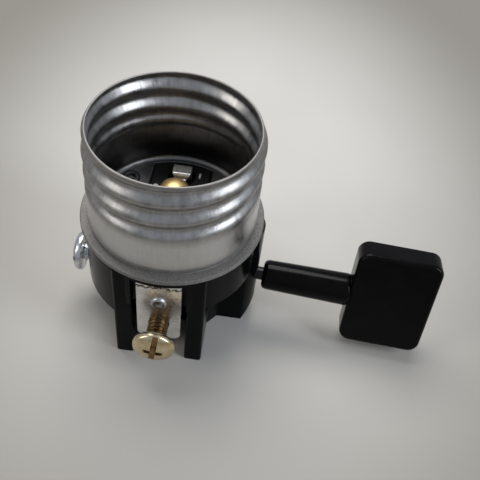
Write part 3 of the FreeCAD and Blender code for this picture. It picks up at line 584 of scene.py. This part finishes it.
FINISH = {
    "screw_shell": "shell", "socket_body": "moulding", "contact_carrier": "carrier",
    "shell_rivet_left": "eyelet", "shell_rivet_right": "eyelet", "centre_contact": "button",
    "centre_contact_spring": "steel", "centre_blade": "copper", "centre_blade_rivet": "painted_glint",
    "ring_contact": "nickel", "ring_blade": "painted_glint", "live_strap": "strap",
    "live_strap_rivet": "rivet", "live_screw": "brass", "neutral_strap": "strap",
    "neutral_strap_rivet": "rivet", "neutral_screw": "silver", "line_blade": "copper",
    "line_blade_rivet": "rivet", "switch_shaft": "shaft", "shaft_clip": "steel",
    "switch_rotor": "carrier", "rotor_contact": "copper", "detent_spring": "steel",
    "knob": "knob",
}
for node_name, finish in FINISH.items():
    for slot in nodes[node_name].material_slots:
        slot.material = materials[finish]


# ---- mesh helpers ------------------------------------------------------------------------
def linked(name, mesh):
    """Object for a mesh, in the scene."""
    made = bpy.data.objects.new(name, mesh)
    bpy.context.collection.objects.link(made)
    return made


def mesh_of(form, name):
    """Turn a bmesh into a mesh and free it."""
    mesh = bpy.data.meshes.new(name)
    form.to_mesh(mesh)
    form.free()
    return mesh


def grid_object(name, rings, close_rings, material):
    """Smooth object over rings of points in millimetres; every ring is closed."""
    count = len(rings[0])
    vertices = [tuple(c * MM for c in point) for ring in rings for point in ring]
    faces = []
    pairs = len(rings) if close_rings else len(rings) - 1
    for i in range(pairs):
        here = i * count
        there = (i + 1) % len(rings) * count
        for j in range(count):
            k = (j + 1) % count
            faces.append((here + j, here + k, there + k, there + j))
    mesh = bpy.data.meshes.new(name)
    mesh.from_pydata(vertices, [], faces)
    mesh.shade_smooth()
    mesh.materials.append(material)
    return linked(name, mesh)


def placed(form, name, finishes, body, node, matrix=None):
    """Turn a bmesh in millimetres into a piece that rides on a body."""
    bmesh.ops.recalc_face_normals(form, faces=form.faces)
    form.transform(Matrix.Scale(MM, 4) @ (matrix or Matrix.Identity(4)))
    mesh = mesh_of(form, name)
    mesh.shade_smooth()
    mesh.set_sharp_from_angle(angle=math.radians(SHARP_ANGLE))
    for finish in finishes:
        mesh.materials.append(materials[finish])
    made = linked(name, mesh)
    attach(made, body)
    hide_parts(node)
    return made


def turn_profile(form, profile, sides, closed=False, reach=None):
    """Add the surface turned about Z from (radius, height) points; reach may vary the radius."""
    rows = []
    for r, z in profile:
        if r == 0:
            rows.append([form.verts.new((0, 0, z))])
            continue
        row = []
        for i in range(sides):
            a = FULL_TURN * i / sides
            wide = r if reach is None else reach(r, z, a)
            row.append(form.verts.new((wide * math.cos(a), wide * math.sin(a), z)))
        rows.append(row)
    pairs = list(zip(rows, rows[1:])) + ([(rows[-1], rows[0])] if closed else [])
    for low, high in pairs:
        for i in range(sides):
            k = (i + 1) % sides
            corners = [low[i % len(low)], low[k % len(low)],
                       high[k % len(high)], high[i % len(high)]]
            form.faces.new([c for n, c in enumerate(corners) if c not in corners[:n]])


def arc(centre, radius, start, end, steps):
    """Points (r, z) on an arc, angles in degrees."""
    points = []
    for i in range(steps + 1):
        a = math.radians(start + (end - start) * i / steps)
        points.append((centre[0] + radius * math.cos(a), centre[1] + radius * math.sin(a)))
    return points


def dome(radius, low, high):
    """Points (r, z) of a quarter ellipse from the edge up to the middle."""
    points = []
    for i in range(DOME_STEPS):
        a = math.pi / 2 * i / DOME_STEPS
        points.append((radius * math.cos(a), low + (high - low) * math.sin(a)))
    return points + [(0, high)]


def smooth(t):
    """Smooth step from 0 to 1."""
    t = min(1.0, max(0.0, t))
    return t * t * (3 - 2 * t)


# ---- screw shell -------------------------------------------------------------------------
def wall_ring(depth, inset, angles):
    """Ring of the rolled wall: a circle carried round the axis as the thread turns."""
    at_rim = smooth(depth / RIM_RUNOUT)
    at_end = smooth((depth - THREAD_LENGTH) / THREAD_FADE)
    share = (RIM_DEPTH_SHARE + (1 - RIM_DEPTH_SHARE) * at_rim) * (1 - at_end)
    offset = THREAD_DEPTH / 2 * share
    radius = CREST_R - RIM_CURL * (1 - at_rim) - offset - inset
    crest = math.radians(THREAD_PHASE + 180 - 360 * depth / THREAD_PITCH)
    x, y = offset * math.cos(crest), offset * math.sin(crest)
    return [(x + radius * math.cos(a), y + radius * math.sin(a), RIM_Z - depth) for a in angles]


def window_reach(angle):
    """Distance from the axis to the edge of the window in a direction."""
    x, y = math.cos(angle), math.sin(angle)
    reach = WINDOW_BACK_R
    if abs(x) > TINY:
        reach = min(reach, WINDOW_HALF / abs(x))
    if y < -TINY:
        reach = min(reach, WINDOW_FRONT / -y)
    return reach


def shell_angles():
    """Directions of the grid, with the corners of the window among them."""
    angles = [FULL_TURN * i / SHELL_SIDES for i in range(SHELL_SIDES)]
    back = math.sqrt(WINDOW_BACK_R ** 2 - WINDOW_HALF ** 2)
    for y in (back, -WINDOW_FRONT):
        for x in (WINDOW_HALF, -WINDOW_HALF):
            corner = math.atan2(y, x) % FULL_TURN
            nearest = min(range(SHELL_SIDES), key=lambda i: abs(angles[i] - corner))
            angles[nearest] = corner
    return angles


def make_shell():
    """Shell as one closed grid: wall out and in, floor to the window, brim and neck."""
    angles = shell_angles()

    def flat_ring(r, z):
        return [(r * math.cos(a), r * math.sin(a), z) for a in angles]

    def window_ring(z, grow=0.0):
        return [((window_reach(a) + grow) * math.cos(a), (window_reach(a) + grow) * math.sin(a), z)
                for a in angles]

    def wall_rows(foot, inset, upwards):
        """Rows of the wall between the lip and the foot, a depth below the rim."""
        steps = range(WALL_ROWS, -1, -1) if upwards else range(WALL_ROWS + 1)
        return [wall_ring(LIP + (foot - LIP) * i / WALL_ROWS, inset, angles) for i in steps]

    rings = wall_rows(RIM_Z - (BRIM_TOP + NECK_HEIGHT), 0, True)
    for i in range(1, LIP_STEPS):
        a = math.pi * i / LIP_STEPS
        rings.append(wall_ring(LIP * (1 - math.sin(a)), LIP * (1 - math.cos(a)), angles))
    rings += wall_rows(RIM_Z - (FLOOR_TOP + CORNER_R), SHEET, False)

    corner = (INNER_R - CORNER_R, FLOOR_TOP + CORNER_R)
    rings += [flat_ring(r, z) for r, z in arc(corner, CORNER_R, 0, -90, CORNER_STEPS)[1:]]
    outer = flat_ring(INNER_R - CORNER_R, FLOOR_TOP)
    edge = window_ring(FLOOR_TOP, WINDOW_EDGE)
    for i in range(1, FLOOR_STEPS + 1):
        share = i / FLOOR_STEPS
        rings.append([tuple(a * (1 - share) + b * share for a, b in zip(far, near))
                      for far, near in zip(outer, edge)])
    rings += [window_ring(FLOOR_TOP - WINDOW_EDGE), window_ring(BODY_TOP)]

    rings.append(flat_ring(BRIM_ROOT_R, BODY_TOP))
    under = (BRIM_R - LIP, BODY_TOP + LIP)
    over = (BRIM_R - LIP, BRIM_TOP - LIP)
    rings += [flat_ring(r, z) for r, z in arc(under, LIP, -90, 60, HEM_STEPS)]
    rings.append(flat_ring(BRIM_R - LIP * HEM_PINCH, BODY_TOP + HEM / 2))
    rings += [flat_ring(r, z) for r, z in arc(over, LIP, -60, 90, HEM_STEPS)]
    rings += [flat_ring(r, BRIM_TOP) for r in BRIM_RINGS]
    for i in range(NECK_STEPS + 1):
        a = math.pi / 2 * i / NECK_STEPS
        r = NECK_R + (CREST_R - NECK_R) * math.sin(a)
        rings.append(flat_ring(r, BRIM_TOP + NECK_HEIGHT * (1 - math.cos(a)) * NECK_STOP))

    shell = grid_object("shell_rolled", rings, True, materials["shell"])
    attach(shell, "socket")
    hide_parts("screw_shell")


# ---- knob --------------------------------------------------------------------------------
def knob_frame():
    """Place of the knob: X along the shaft, turned by the paddle's angle."""
    yaw = Matrix.Rotation(math.radians(SHAFT_YAW), 4, "Z")
    lift = Matrix.Translation((0, 0, SHAFT_Z * MM))
    turn = Matrix.Rotation(math.radians(-PADDLE_TURN), 4, "X")
    return yaw @ lift @ turn


def make_paddle():
    """Flat block with round corners and softened rims, in metres."""
    form = bmesh.new()
    bmesh.ops.create_cube(form, size=1.0)
    size = Vector((PADDLE_L, PADDLE_T, PADDLE_H)) * MM
    bmesh.ops.scale(form, vec=size, verts=form.verts)
    along = [e for e in form.edges if abs((e.verts[0].co - e.verts[1].co).y) > size.y / 2]
    bmesh.ops.bevel(form, geom=along, offset=PADDLE_CORNER * MM,
                    segments=PADDLE_CORNER_STEPS, profile=0.5, affect="EDGES")

    def is_rim(edge):
        """Between a broad face and the side of the block."""
        at_face = all(abs(abs(v.co.y) - size.y / 2) < 1e-7 for v in edge.verts)
        if not at_face or len(edge.link_faces) != 2:
            return False
        first, second = edge.link_faces
        return abs(first.normal.dot(second.normal)) < 0.5

    rims = [e for e in form.edges if is_rim(e)]
    bmesh.ops.bevel(form, geom=rims, offset=PADDLE_EDGE * MM,
                    segments=PADDLE_EDGE_STEPS, profile=0.5, affect="EDGES")
    start = (KNOB_START + STEM_L + PADDLE_L / 2) * MM
    bmesh.ops.translate(form, vec=(start, 0, 0), verts=form.verts)
    return form


def make_stem(form):
    """Round tapered stem with a rounded end and a bore for the shaft."""
    tip, root = STEM_D / 2, STEM_ROOT_D / 2
    bore = [(BORE_R, BORE_L), (BORE_R, BORE_MOUTH), (BORE_R + BORE_MOUTH, 0.0)]
    end = [(tip - inwards, x) for inwards, x in STEM_END]
    taper = [((STEM_D + (STEM_ROOT_D - STEM_D) * x / STEM_L) / 2, x)
             for x in (*STEM_ROWS, STEM_L - STEM_TURN_IN)]
    into_paddle = [(root - 0.02, STEM_L - 0.4), (root - 0.3, STEM_L + 0.6)]
    rows = []
    for r, x in bore + end + taper + into_paddle:
        row = []
        for i in range(STEM_SIDES):
            a = FULL_TURN * i / STEM_SIDES
            place = Vector((KNOB_START + x, r * math.cos(a), r * math.sin(a))) * MM
            row.append(form.verts.new(place))
        rows.append(row)
    for low, high in zip(rows, rows[1:]):
        for i in range(STEM_SIDES):
            k = (i + 1) % STEM_SIDES
            form.faces.new((low[i], high[i], high[k], low[k]))
    form.faces.new(rows[0])
    form.faces.new(rows[-1])


def make_knob():
    """Paddle knob on its stem."""
    form = make_paddle()
    make_stem(form)
    bmesh.ops.recalc_face_normals(form, faces=form.faces)
    form.transform(knob_frame())
    mesh = mesh_of(form, "knob_moulded")
    mesh.shade_smooth()
    mesh.materials.append(materials["knob"])
    knob = linked("knob_moulded", mesh)
    weighted = knob.modifiers.new("weighted", "WEIGHTED_NORMAL")
    weighted.keep_sharp = True
    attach(knob, "knob_switch")
    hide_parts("knob")


# ---- centre contact ----------------------------------------------------------------------
def make_button():
    """Domed brass button with its collar and spigot."""
    foot, top = BUTTON_FOOT, BUTTON_FOOT + COLLAR_H
    end = foot - SPIGOT_L
    soft = 0.05
    profile = [(0, end), (SPIGOT_R - 0.1, end), (SPIGOT_R, end + 0.1), (SPIGOT_R, foot),
               (COLLAR_R - soft, foot), (COLLAR_R, foot + soft),
               (COLLAR_R, top - soft), (COLLAR_R - soft, top),
               (BUTTON_R, top), (BUTTON_R, top + 1.0)]
    profile += dome(BUTTON_R, BUTTON_TOP - BUTTON_DOME, BUTTON_TOP)
    form = bmesh.new()
    turn_profile(form, profile, BUTTON_SIDES)
    place = Matrix.Translation((*BUTTON_AT, 0))
    placed(form, "centre_button_domed", ["button"], "centre_button", "centre_contact",
           place)


def make_spring():
    """Round-wire button spring, coiled at an even pitch from its foot up to the button."""
    rise = BUTTON_FOOT - SPRING_FOOT - 2 * SPRING_WIRE_R
    rings = []
    for i in range(SPRING_STATIONS + 1):
        a = FULL_TURN * SPRING_TURNS * i / SPRING_STATIONS
        ring = []
        for k in range(SPRING_SIDES):
            b = FULL_TURN * k / SPRING_SIDES
            r = SPRING_MEAN_R + SPRING_WIRE_R * math.cos(b)
            z = SPRING_FOOT + SPRING_WIRE_R * (1 + math.sin(b)) + rise * i / SPRING_STATIONS
            ring.append((BUTTON_AT[0] + r * math.cos(a), BUTTON_AT[1] + r * math.sin(a), z))
        rings.append(ring)
    spring = grid_object("button_spring_coiled", rings, False, materials["steel"])
    form = bmesh.new()
    form.from_mesh(spring.data)
    form.verts.ensure_lookup_table()
    for first in (0, SPRING_STATIONS * SPRING_SIDES):
        form.faces.new([form.verts[first + k] for k in range(SPRING_SIDES)])
    bmesh.ops.recalc_face_normals(form, faces=form.faces)
    form.to_mesh(spring.data)
    form.free()
    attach(spring, "socket")
    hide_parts("centre_contact_spring")
    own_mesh(spring)


# ---- terminals ---------------------------------------------------------------------------
def side_place(side, out, z, spin=0.0):
    """Place on a strap, with Z pointing out of it; side 0 is -Y and side 1 is -X."""
    return (Matrix.Translation((0, 0, z))
            @ Matrix.Rotation(math.radians(-90 * side), 4, "Z")
            @ Matrix.Translation((0, -STRAP_FACE - out, 0))
            @ Matrix.Rotation(math.radians(90), 4, "X")
            @ Matrix.Rotation(math.radians(spin), 4, "Z"))


def wedge(name, top, bottom, bottom_z):
    """Cutter whose plan shrinks from above the head to its floor; half sizes."""
    form = bmesh.new()
    levels = []
    for (x, y), z in ((top, HEAD_H + CUT_ABOVE), (bottom, bottom_z)):
        corners = ((-x, -y, z), (x, -y, z), (x, y, z), (-x, y, z))
        levels.append([form.verts.new(p) for p in corners])
    form.faces.new(levels[0])
    form.faces.new(levels[1][::-1])
    for i in range(4):
        k = (i + 1) % 4
        form.faces.new((levels[0][i], levels[1][i], levels[1][k], levels[0][k]))
    bmesh.ops.recalc_face_normals(form, faces=form.faces)
    return linked(name, mesh_of(form, name))


def recessed_head():
    """Domed screw head with a full slot and a tapered cross, as a bmesh."""
    form = bmesh.new()
    profile = [(0, 0), (HEAD_R - 0.25, 0), (HEAD_R - 0.07, 0.08), (HEAD_R, 0.28),
               (HEAD_R, HEAD_EDGE - 0.12)]
    profile += dome(HEAD_R - 0.04, HEAD_EDGE, HEAD_H)
    turn_profile(form, profile, HEAD_SIDES)
    bmesh.ops.recalc_face_normals(form, faces=form.faces)
    head = linked("head", mesh_of(form, "head"))

    mouth = (CROSS_TOP, CROSS_W / 2 + CROSS_DRAFT)
    floor = (CROSS_END, CROSS_W / 2 - CROSS_TAPER)
    past = HEAD_R + CUT_PAST
    half = SLOT_W / 2
    cutters = [wedge("slot", (past, half + SLOT_DRAFT), (past, half), SLOT_FLOOR),
               wedge("cross_a", mouth, floor, CROSS_FLOOR),
               wedge("cross_b", mouth[::-1], floor[::-1], CROSS_FLOOR)]
    for cutter in cutters:
        cut = head.modifiers.new(cutter.name, "BOOLEAN")
        cut.operation = "DIFFERENCE"
        cut.solver = "EXACT"
        cut.object = cutter
    bpy.context.view_layer.update()
    finished = head.evaluated_get(bpy.context.evaluated_depsgraph_get())
    form = bmesh.new()
    form.from_mesh(finished.to_mesh())
    finished.to_mesh_clear()
    for item in [head] + cutters:
        bpy.data.objects.remove(item)

    # faces in the slot and the cross take the darker copy, painted shade in the recess
    for face in form.faces:
        middle = face.calc_center_median()
        out = min(1.0, middle.xy.length / HEAD_R)
        surface = HEAD_EDGE + (HEAD_H - HEAD_EDGE) * math.sqrt(1 - out * out)
        in_recess = 0.1 < middle.z < surface - 0.09 and out < 0.97
        face.material_index = 1 if in_recess else 0
    return form


def thread_reach(r, z, a):
    """Radius of the screw thread at a height and a direction."""
    if r < SCREW_R:
        return r
    turn = (z / THREAD_STEP - a / FULL_TURN) % 1.0
    return r - THREAD_CUT * smooth(abs(2 * turn - 1) * 1.5 - 0.3)


def make_screw(name, finishes, body, node, side, out, spin):
    """Terminal screw: recessed domed head and a threaded shank."""
    form = recessed_head()
    rows = int(SCREW_L / THREAD_STEP * SHANK_ROWS_A_TURN)
    neck = SCREW_R - 0.3
    profile = [(0, -SCREW_L), (SCREW_R - 0.35, -SCREW_L)]
    profile += [(SCREW_R, -SCREW_L + 0.15 + (SCREW_L - 0.25) * i / rows)
                for i in range(rows + 1)]
    profile += [(neck, -0.05), (neck, 0.3), (0, 0.3)]
    turn_profile(form, profile, SHANK_SIDES, reach=thread_reach)
    placed(form, name, finishes, body, node, side_place(side, out, SCREW_Z, spin))


def make_strap_rivet(name, node, side):
    """Rivet with a dished head."""
    h = STRAP_RIVET_H
    r = STRAP_RIVET_R
    profile = [(0, h - 0.16), (0.3, h - 0.15), (0.55, h - 0.07), (0.75, h - 0.01), (0.9, h),
               (r - 0.14, h - 0.04), (r - 0.03, h - 0.12), (r, h - 0.22), (r, 0),
               (STRAP_SHANK_R, 0), (STRAP_SHANK_R, -STRAP_SHANK_L), (0, -STRAP_SHANK_L)]
    form = bmesh.new()
    turn_profile(form, profile, RIVET_SIDES)
    placed(form, name, ["rivet"], "socket", node,
           side_place(side, 0, STRAP_RIVET_Z))


# ---- ring tab and eyelets ----------------------------------------------------------------
def rounded(points, radius, steps):
    """Path through corners (a, b, width) with each inner corner turned into an arc."""
    path = [Vector(points[0])]
    for before, corner, after in zip(points, points[1:], points[2:]):
        before, corner, after = Vector(before), Vector(corner), Vector(after)
        inward, outward = corner - before, after - corner
        flat_in, flat_out = inward.xy.normalized(), outward.xy.normalized()
        cut = radius * math.tan(flat_in.angle(flat_out) / 2)
        cut = min(cut, 0.48 * inward.xy.length, 0.48 * outward.xy.length)
        first = corner - inward * (cut / inward.xy.length)
        last = corner + outward * (cut / outward.xy.length)
        for i in range(steps + 1):
            t = i / steps
            path.append(first * (1 - t) ** 2 + corner * 2 * t * (1 - t) + last * t * t)
    return path + [Vector(points[-1])]


def make_ring_tab():
    """Hooked tab bent from strip, drawn in to a narrow lip."""
    corners = [(y, z, half) for (y, z), half in zip(TAB_PATH, TAB_HALF)]
    path = rounded(corners, TAB_BEND, TAB_STEPS)
    full = TAB_T / 2
    side = full - TAB_EDGE
    form = bmesh.new()
    rings = []
    for i, point in enumerate(path):
        run = (path[min(i + 1, len(path) - 1)] - path[max(i - 1, 0)]).xy.normalized()
        normal = Vector((-run.y, run.x))
        wide = point.z
        flat = wide - TAB_EDGE
        section = ((wide, side), (flat, full), (-flat, full), (-wide, side),
                   (-wide, -side), (-flat, -full), (flat, -full), (wide, -side))
        rings.append([form.verts.new((TAB_X + across, point.x + normal.x * up,
                                      point.y + normal.y * up)) for across, up in section])
    for low, high in zip(rings, rings[1:]):
        for i in range(len(low)):
            k = (i + 1) % len(low)
            form.faces.new((low[i], low[k], high[k], high[i]))
    form.faces.new(rings[0])
    form.faces.new(rings[-1])
    placed(form, "ring_tab_hooked", ["nickel"], "socket", "ring_contact")


def make_eyelet(name, node, turn):
    """Hollow eyelet with a rolled head on the shell floor."""
    top = FLOOR_TOP + EYELET_HEAD_H
    bore = EYELET_BORE_R
    r = EYELET_HEAD_R
    profile = [(bore, top - 0.3), (bore + 0.06, top - 0.12), (bore + 0.25, top),
               (r - 0.45, top), (r - 0.15, top - 0.1), (r, top - 0.28), (r, FLOOR_TOP),
               (EYELET_SHANK_R, FLOOR_TOP), (EYELET_SHANK_R, EYELET_END), (bore, EYELET_END)]
    form = bmesh.new()
    turn_profile(form, profile, RIVET_SIDES, closed=True)
    a = math.radians(EYELET_ANGLE + turn)
    place = Matrix.Translation((EYELET_R * math.cos(a), EYELET_R * math.sin(a), 0))
    placed(form, name, ["eyelet"], "socket", node, place)


# ---- stage, light and camera -------------------------------------------------------------
def make_floor():
    """Wide pale floor with a painted pool of light: its tone falls off round a lit patch and is
    even far away.
    """
    half = FLOOR_HALF
    mesh = bpy.data.meshes.new("floor")
    mesh.from_pydata([(-half, -half, 0), (half, -half, 0), (half, half, 0), (-half, half, 0)],
                     [], [(0, 1, 2, 3)])
    floor = linked("floor", mesh)
    floor.location = (0, 0, cad_low.z - FLOOR_DROP)

    material, tree, shader = new_material("floor_paint")
    paint = ramp(tree, noise(tree, object_place(tree), 0.02, 3.0), PAINT_TONES)
    squeezed = vector_maths(tree, "MULTIPLY", object_place(tree), (1.0, FLOOR_SQUEEZE, 0.0))
    middle = (FLOOR_MIDDLE[0], FLOOR_MIDDLE[1] * FLOOR_SQUEEZE, 0.0)
    off = vector_maths(tree, "DISTANCE", squeezed.outputs[0], middle).outputs[1]
    # painted pool of light: the floor's colour dims away from the middle
    painted_falloff = value_range(tree, off, FLOOR_NEAR, FLOOR_FAR, 0.0, 1.0, soft=True)
    painted_pool = mix(tree, painted_falloff, paint, PAINTED_FALLOFF_TONE)
    near, far = (times * FLOOR_FAR for times in FLOOR_BEYOND)
    beyond = value_range(tree, off, near, far, 0.0, 1.0)
    tree.links.new(mix(tree, beyond, painted_pool, PAINT_FAR), shader.inputs["Base Color"])
    shader.inputs["Roughness"].default_value = FLOOR_ROUGH
    shader.inputs["Specular IOR Level"].default_value = FLOOR_SHINE
    mesh.materials.append(material)


def soft_box(name, place, target, width, height, power, colour):
    """Rectangular studio lamp that faces a target."""
    data = bpy.data.lights.new(name, "AREA")
    data.shape = "RECTANGLE"
    data.size, data.size_y = width, height
    data.energy = power
    data.color = colour
    lamp = linked(name, data)
    lamp.location = place
    lamp.rotation_euler = (Vector(target) - Vector(place)).to_track_quat("-Z", "Y").to_euler()


def make_lights():
    """Three lamps, and a world that is paler where it is seen than where it lights."""
    world = bpy.data.worlds.new("studio")
    bpy.context.scene.world = world
    world.use_nodes = True
    tree = world.node_tree
    background = tree.nodes["Background"]
    background.inputs["Color"].default_value = WORLD_COLOUR
    rays = tree.nodes.new("ShaderNodeLightPath").outputs
    seen = maths(tree, "ADD", rays["Is Camera Ray"], rays["Is Glossy Ray"])
    seen = maths(tree, "ADD", seen, rays["Is Transmission Ray"])
    strength = value_range(tree, seen, 0.0, 1.0, WORLD_LIGHT, WORLD_SEEN)
    tree.links.new(strength, background.inputs["Strength"])
    for lamp in LAMPS:
        soft_box(*lamp)


def make_camera():
    """Camera at the photo's angle."""
    data = bpy.data.cameras.new("view")
    data.lens = LENS
    data.sensor_width = SENSOR
    data.clip_start, data.clip_end = CAMERA_CLIP
    camera = linked("view", data)
    camera.matrix_world = (Matrix.Translation(Vector(CAMERA_AT) * MM)
                           @ Matrix.Rotation(math.radians(90 - CAMERA_DOWN), 4, "X")
                           @ Matrix.Rotation(math.radians(CAMERA_ROLL), 4, "Z"))
    bpy.context.scene.camera = camera


make_camera()
make_floor()
make_lights()
make_shell()
make_knob()
make_button()
make_spring()
make_screw("live_screw_threaded", ["brass", "shaded_brass_recess"], "live_terminal_screw",
           "live_screw", 0, LIVE_OUT, LIVE_SPIN)
make_screw("neutral_screw_threaded", ["silver", "shaded_silver_recess"], "neutral_terminal_screw",
           "neutral_screw", 1, NEUTRAL_OUT, NEUTRAL_SPIN)
make_strap_rivet("live_rivet_dished", "live_strap_rivet", 0)
make_strap_rivet("neutral_rivet_dished", "neutral_strap_rivet", 1)
make_ring_tab()
make_eyelet("eyelet_left", "shell_rivet_left", 0.0)
make_eyelet("eyelet_right", "shell_rivet_right", 180.0)
bpy.context.scene.view_settings.view_transform = "Standard"
